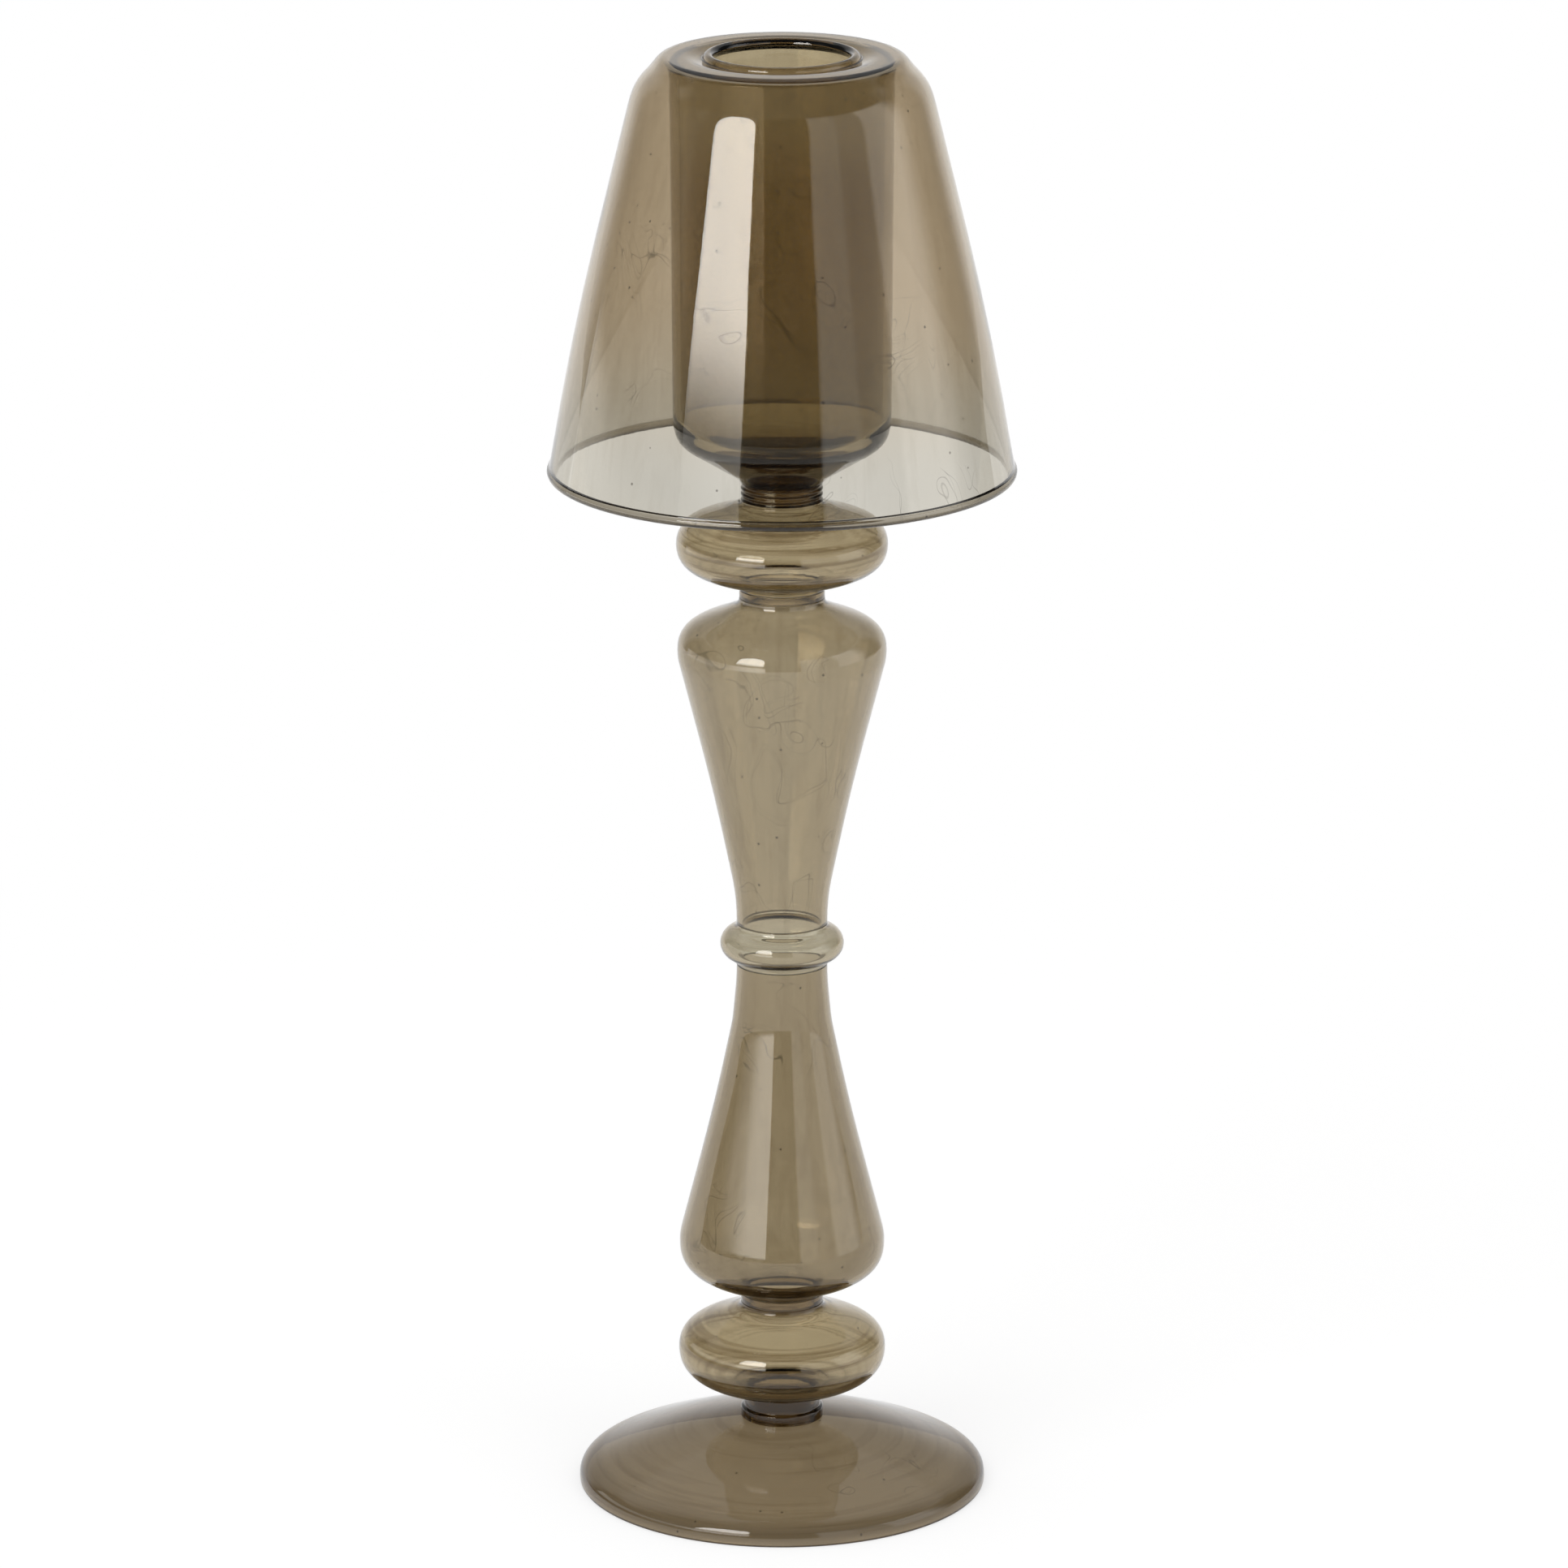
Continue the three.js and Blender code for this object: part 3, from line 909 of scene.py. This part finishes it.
class CANDLE_OT_shade(bpy.types.Operator):
    """Blow the loose cone shade with its beaded rim and beaded top hole"""

    bl_idname = "candle.shade"
    bl_label = "Shade"

    def execute(self, context):
        sizes = context.scene.glass_sizes
        tints = context.scene.glass_tints
        rim, bead_top, radius = levels("shade")
        crest = bead_top - SHADE_HOLE_BEAD + SHADE_DISH
        wall = Outline(radius - SHADE_RIM_STAND, rim + 2 * SHADE_RIM_BEAD)
        slopes = (SHADE_RIM_SLOPE, SHADE_CONE_SLOPE, SHADE_SHOULDER_SLOPE)
        lowest, cone, shoulder = (180 - slope for slope in slopes)
        wall.bend(lowest, SHADE_CONE_RADIUS, crest - SHADE_CONE_DROP, cone)
        wall.bend(cone, SHADE_SHOULDER_RADIUS, crest - SHADE_SHOULDER_DROP, shoulder)
        wall.bend(shoulder, SHADE_CREST_RADIUS, crest, 180)
        wall.line(SHADE_SEAT_RADIUS, crest)
        hole = Vector((SHADE_HOLE_RADIUS + SHADE_HOLE_BEAD, crest - SHADE_DISH))
        wall.bend(180, hole.x + SHADE_HOLE_BEAD + SHADE_HOLE_FILLET, hole.y, SHADE_DISH_HEADING)
        rim_centre = Vector((radius - SHADE_RIM_BEAD, rim + SHADE_RIM_BEAD))
        section = Outline(*(rim_centre + towards(SHADE_RIM_ARC[0]) * SHADE_RIM_BEAD))
        section.arc(rim_centre, SHADE_RIM_BEAD, *SHADE_RIM_ARC)
        section.points.extend(wall.points)
        section.arc(hole, SHADE_HOLE_BEAD, *SHADE_HOLE_ARC)
        section.points.extend(wall.inside(sizes.shade_wall / MM)[::-1])
        material = smoked_glass(
            "shade_glass",
            tints.shade,
            DRAWN,
            streaky=0.1,
            wavy=0.12,
            fade=(tints.shade_rim, *SHADE_PALE_SPAN),
            # Painted shade: the rim bead's dark line, where light bent through the thick bead looks
            # dark, darkened here as a seam joint is
            seam_and_shade_heights=(rim,),
            sealed=0.7,
            depth=SHADE_DEPTH,
        )
        blown("blown_shade", section.points[1:], material, "shade", "shade")
        return {"FINISHED"}


# The studio


CAMERA_BACK = 2.7406
CAMERA_HEIGHT = 1.0153
CAMERA_SIDE = 0.0006
CAMERA_PITCH = 16.1
SENSOR = 36.0

FLOOR_RADIUS = 4.0
FLOOR_SEGMENTS = 96
PAPER_WHITE = 0.44
PAPER_LIFT = 0.65
PAPER_FAR = 0.6
PAPER_NEAR = (0.3, 0.7)

# The low card is bent round the object between two turns in degrees, and is dim far round
LOW_CARD_BASE = 0.13
LOW_CARD_HEIGHT = 0.24
LOW_CARD_AWAY = 0.85
LOW_CARD_START = -18.0
LOW_CARD_END = -125.0
LOW_CARD_STEPS = 48
LOW_CARD_FADE = (-66.0, -38.0)
LOW_CARD_DIM = 0.3

SOFTBOX_WIDTH = 0.56
SOFTBOX_HEIGHT = 1.06
SOFTBOX_BASE = 0.14
SOFTBOX_FADE = (-0.26, -0.06)
SOFTBOX_FOOT = 0.6
SOFTBOX_AWAY = 1.0
SOFTBOX_TURN = -35.5
SOFTBOX_CORNER = 0.4
SOFTBOX_CORNER_STEPS = 10
SOFTBOX_END = (-0.53, -0.42)
WHITE = (1, 1, 1, 1)
WARM_WHITE = (1, 0.99, 0.97, 1)

# Each lamp: its size, its turn in degrees from the front, its distance and its height
KEY_LAMP = (1.2, -40, 1.6, 1.6)
FILL_LAMP = (1.4, 50, 1.8, 1.5)
LAMP_TARGET = Vector((0, 0, 0.1))

# How many walls of glass a ray passes, and how many times it is mirrored
WALLS_PASSED = 32
TIMES_MIRRORED = 16

# Brightness of the walls as glass shows them, by the turn in degrees from the front, left below 0
STUDIO_WALLS = (
    (-180, 0.4),
    (-142, 0.4),
    (-132, 0.1),
    (-92, 0.1),
    (-82, 0.2),
    (-70, 0.3),
    (-63, 0.2),
    (-52, 0.15),
    (-50, 0.4),
    (-22, 0.4),
    (-20, 0.03),
    (20, 0.03),
    (21.5, 1.1),
    (41, 1.1),
    (43, 0.8),
    (63, 0.8),
    (66, 1.7),
    (92, 1.7),
    (106, 0.3),
    (112, 0.06),
    (134, 0.06),
    (144, 0.4),
    (180, 0.4),
)
STUDIO_MOST = 2.0
STUDIO_TOP = (36.0, 41.0)

# Above the walls: how far back the ceiling turns from its front level to its back level
STUDIO_CEILING_TURN = (0.1, 0.5)
STUDIO_CEILING = (0.12, 0.55)

# The bright foot of the back wall
STUDIO_GLOW = 0.6
STUDIO_GLOW_TURN = (0.55, 0.95)
STUDIO_GLOW_TOP = (26.0, 0.0)


def turned_about(turn, away, height):
    """A place in the studio, by its turn in degrees from the front"""
    angle = math.radians(turn)
    return Vector((math.sin(angle) * away, -math.cos(angle) * away, height))


def studio_world(light):
    """White where it is looked at; glass shows uneven walls, as in a room with one dark side"""
    world = bpy.data.worlds.new("studio")
    bpy.context.scene.world = world
    world.use_nodes = True
    graph = Graph(world.node_tree, "ShaderNodeOutputWorld")
    x, y, z = graph.parts(graph.node("ShaderNodeTexCoord").outputs["Generated"])
    turn = graph.maths("ARCTAN2", x, y * -1)
    rise = graph.maths("ARCSINE", z) * math.degrees(1)
    ramp = graph.node("ShaderNodeValToRGB", Fac=turn / FULL_TURN + 0.5)
    stops = ramp.color_ramp.elements
    for degrees, level in STUDIO_WALLS[1:-1]:
        stops.new(degrees / 360 + 0.5).color = rgba([level / STUDIO_MOST] * 3)
    for stop, (degrees, level) in zip((stops[0], stops[-1]), (STUDIO_WALLS[0], STUDIO_WALLS[-1])):
        stop.color = rgba([level / STUDIO_MOST] * 3)
    walls = graph.red(ramp.outputs[0]) * STUDIO_MOST
    above = graph.eased(rise, *STUDIO_TOP)
    ceiling = graph.eased(y, *STUDIO_CEILING_TURN, *STUDIO_CEILING)
    glow = graph.eased(y, *STUDIO_GLOW_TURN) * graph.eased(rise, *STUDIO_GLOW_TOP) * STUDIO_GLOW
    studio = walls * (1 - above) + above * ceiling + glow
    shown, glossy, through = graph.rays("Camera", "Glossy", "Transmission")
    mirrored = graph.maths("MAXIMUM", glossy, through)
    strength = shown + (1 - shown) * (mirrored * studio + (1 - mirrored) * light.ambient)
    graph.shown(graph.node("ShaderNodeBackground", Color=WHITE, Strength=strength))


def paper_floor():
    """A white paper floor that keeps the shadow near the object and is plain white further out"""
    material, graph = new_material("white_paper")
    away = graph.node("ShaderNodeVectorMath", {"operation": "LENGTH"}, Vector=graph.place())
    seen = graph.seen()
    paper = graph.node("ShaderNodeBsdfDiffuse", Color=rgba([PAPER_WHITE] * 3))
    lift = graph.node("ShaderNodeEmission", Color=WHITE, Strength=seen * PAPER_LIFT)
    near = graph.node("ShaderNodeAddShader")
    graph.give(near.inputs[0], paper.outputs[0])
    graph.give(near.inputs[1], lift.outputs[0])
    plain = seen * (1 - PAPER_FAR) + PAPER_FAR
    far = graph.node("ShaderNodeEmission", Color=WHITE, Strength=plain)
    graph.shown(graph.between(graph.eased(away.outputs["Value"], *PAPER_NEAR), near, far))
    return material


def stage_sheet(name, material, make):
    """A thin thing that belongs to the studio, shaped by a function"""
    mesh = bpy.data.meshes.new(name)
    card = bmesh.new()
    make(card)
    card.to_mesh(mesh)
    card.free()
    mesh.materials.append(material)
    thing = bpy.data.objects.new(name, mesh)
    bpy.context.scene.collection.objects.link(thing)
    return thing


def rounded_front(card):
    """A rounded rectangle that looks down its own Z axis"""
    bmesh.ops.create_grid(card, x_segments=1, y_segments=1, size=0.5)
    bmesh.ops.bevel(
        card,
        geom=card.verts[:],
        offset=SOFTBOX_CORNER,
        offset_type="OFFSET",
        segments=SOFTBOX_CORNER_STEPS,
        profile=0.5,
        affect="VERTICES",
        material=-1,
    )
    bmesh.ops.scale(card, vec=(SOFTBOX_WIDTH, SOFTBOX_HEIGHT, 1), verts=card.verts)


def softbox(light):
    """The softbox as glass shows it, bright and with rounded corners"""
    material, graph = new_material("softbox_cloth")
    level = graph.parts(graph.place())[1]
    lit = graph.eased(level, *SOFTBOX_FADE, SOFTBOX_FOOT, light.window)
    strength = lit * graph.eased(level, *SOFTBOX_END)
    graph.shown(graph.node("ShaderNodeEmission", Color=WARM_WHITE, Strength=strength))
    card = stage_sheet("softbox_front", material, rounded_front)
    card.location = turned_about(SOFTBOX_TURN, SOFTBOX_AWAY, SOFTBOX_BASE + SOFTBOX_HEIGHT / 2)
    card.rotation_euler = (math.radians(90), 0, math.radians(SOFTBOX_TURN))
    only_mirrored(card)


def low_card(light):
    """The bent white card that lights the lower vase's left side, brighter towards the front"""
    material, graph = new_material("low_card_paper")
    x, y, z = graph.parts(graph.place())
    turn = graph.maths("ARCTAN2", x, y * -1) * math.degrees(1)
    middle = LOW_CARD_BASE + LOW_CARD_HEIGHT / 2
    away = graph.maths("ABSOLUTE", z - middle)
    inside = graph.eased(away, LOW_CARD_HEIGHT / 2, LOW_CARD_HEIGHT / 4)
    lit = inside * graph.eased(turn, *LOW_CARD_FADE, LOW_CARD_DIM, 1.0)
    glow = graph.node("ShaderNodeEmission", Color=WARM_WHITE, Strength=light.card)
    graph.shown(graph.between(lit, graph.node("ShaderNodeBsdfTransparent"), glow))

    def bent(card):
        heights = (LOW_CARD_BASE, LOW_CARD_BASE + LOW_CARD_HEIGHT)
        ends = [turned_about(LOW_CARD_START, LOW_CARD_AWAY, height) for height in heights]
        points = [card.verts.new(end) for end in ends]
        bmesh.ops.spin(
            card,
            geom=points + [card.edges.new(points)],
            cent=(0, 0, 0),
            axis=(0, 0, 1),
            angle=math.radians(LOW_CARD_END - LOW_CARD_START),
            steps=LOW_CARD_STEPS,
        )

    only_mirrored(stage_sheet("low_card", material, bent))


def only_mirrored(card):
    """Keeps a card out of the picture and of the light on the floor"""
    card.visible_camera = False
    card.visible_diffuse = False
    card.visible_shadow = False


def lamp(name, power, size, turn, away, height):
    """A square lamp that lights the floor and isn't mirrored in the glass"""
    data = bpy.data.lights.new(name, "AREA")
    data.energy = power
    data.shape = "SQUARE"
    data.size = size
    thing = bpy.data.objects.new(name, data)
    bpy.context.scene.collection.objects.link(thing)
    thing.location = turned_about(turn, away, height)
    thing.rotation_euler = (LAMP_TARGET - thing.location).to_track_quat("-Z", "Y").to_euler()
    thing.visible_camera = False
    thing.visible_glossy = False
    thing.visible_transmission = False


class CANDLE_OT_studio(bpy.types.Operator):
    """Set up the white paper floor, the lamps, the room and the camera"""

    bl_idname = "candle.studio"
    bl_label = "Studio"

    def execute(self, context):
        scene = context.scene
        light = scene.studio_light
        scene.view_settings.view_transform = "Standard"
        scene.cycles.max_bounces = WALLS_PASSED
        scene.cycles.transmission_bounces = WALLS_PASSED
        scene.cycles.glossy_bounces = TIMES_MIRRORED
        studio_world(light)

        def disc(card):
            bmesh.ops.create_circle(
                card,
                cap_ends=True,
                radius=FLOOR_RADIUS,
                segments=FLOOR_SEGMENTS,
            )

        stage_sheet("paper_floor", paper_floor(), disc)
        softbox(light)
        low_card(light)
        lamp("key_lamp", light.key, *KEY_LAMP)
        lamp("fill_lamp", light.fill, *FILL_LAMP)
        data = bpy.data.cameras.new("camera")
        data.lens = light.lens
        data.sensor_width = SENSOR
        camera = bpy.data.objects.new("camera", data)
        scene.collection.objects.link(camera)
        camera.location = (CAMERA_SIDE, -CAMERA_BACK, CAMERA_HEIGHT)
        camera.rotation_euler = (math.radians(90 - CAMERA_PITCH), 0, 0)
        scene.camera = camera
        return {"FINISHED"}


# The add-on


class CANDLE_PT_panel(bpy.types.Panel):
    """Lists the pieces of the candle holder and its studio"""

    bl_idname = "CANDLE_PT_panel"
    bl_label = "Candle Holder"
    bl_space_type = "VIEW_3D"
    bl_region_type = "UI"
    bl_category = "Candle Holder"

    def draw(self, context):
        for operator in OPERATORS:
            self.layout.operator(operator.bl_idname)


OPERATORS = (
    CANDLE_OT_studio,
    CANDLE_OT_foot,
    CANDLE_OT_seals,
    CANDLE_OT_beads,
    CANDLE_OT_vases,
    CANDLE_OT_ring,
    CANDLE_OT_cup_seal,
    CANDLE_OT_cup,
    CANDLE_OT_shade,
)
GROUPS = {"glass_sizes": GlassSizes, "glass_tints": GlassTints, "studio_light": StudioLight}


def register():
    for name, group in GROUPS.items():
        bpy.utils.register_class(group)
        setattr(bpy.types.Scene, name, PointerProperty(type=group))
    for operator in OPERATORS:
        bpy.utils.register_class(operator)
    bpy.utils.register_class(CANDLE_PT_panel)


def unregister():
    bpy.utils.unregister_class(CANDLE_PT_panel)
    for operator in OPERATORS:
        bpy.utils.unregister_class(operator)
    for name, group in GROUPS.items():
        delattr(bpy.types.Scene, name)
        bpy.utils.unregister_class(group)


def main():
    register()
    for operator in OPERATORS:
        family, name = operator.bl_idname.split(".")
        getattr(getattr(bpy.ops, family), name)()


if __name__ == "__main__":
    main()
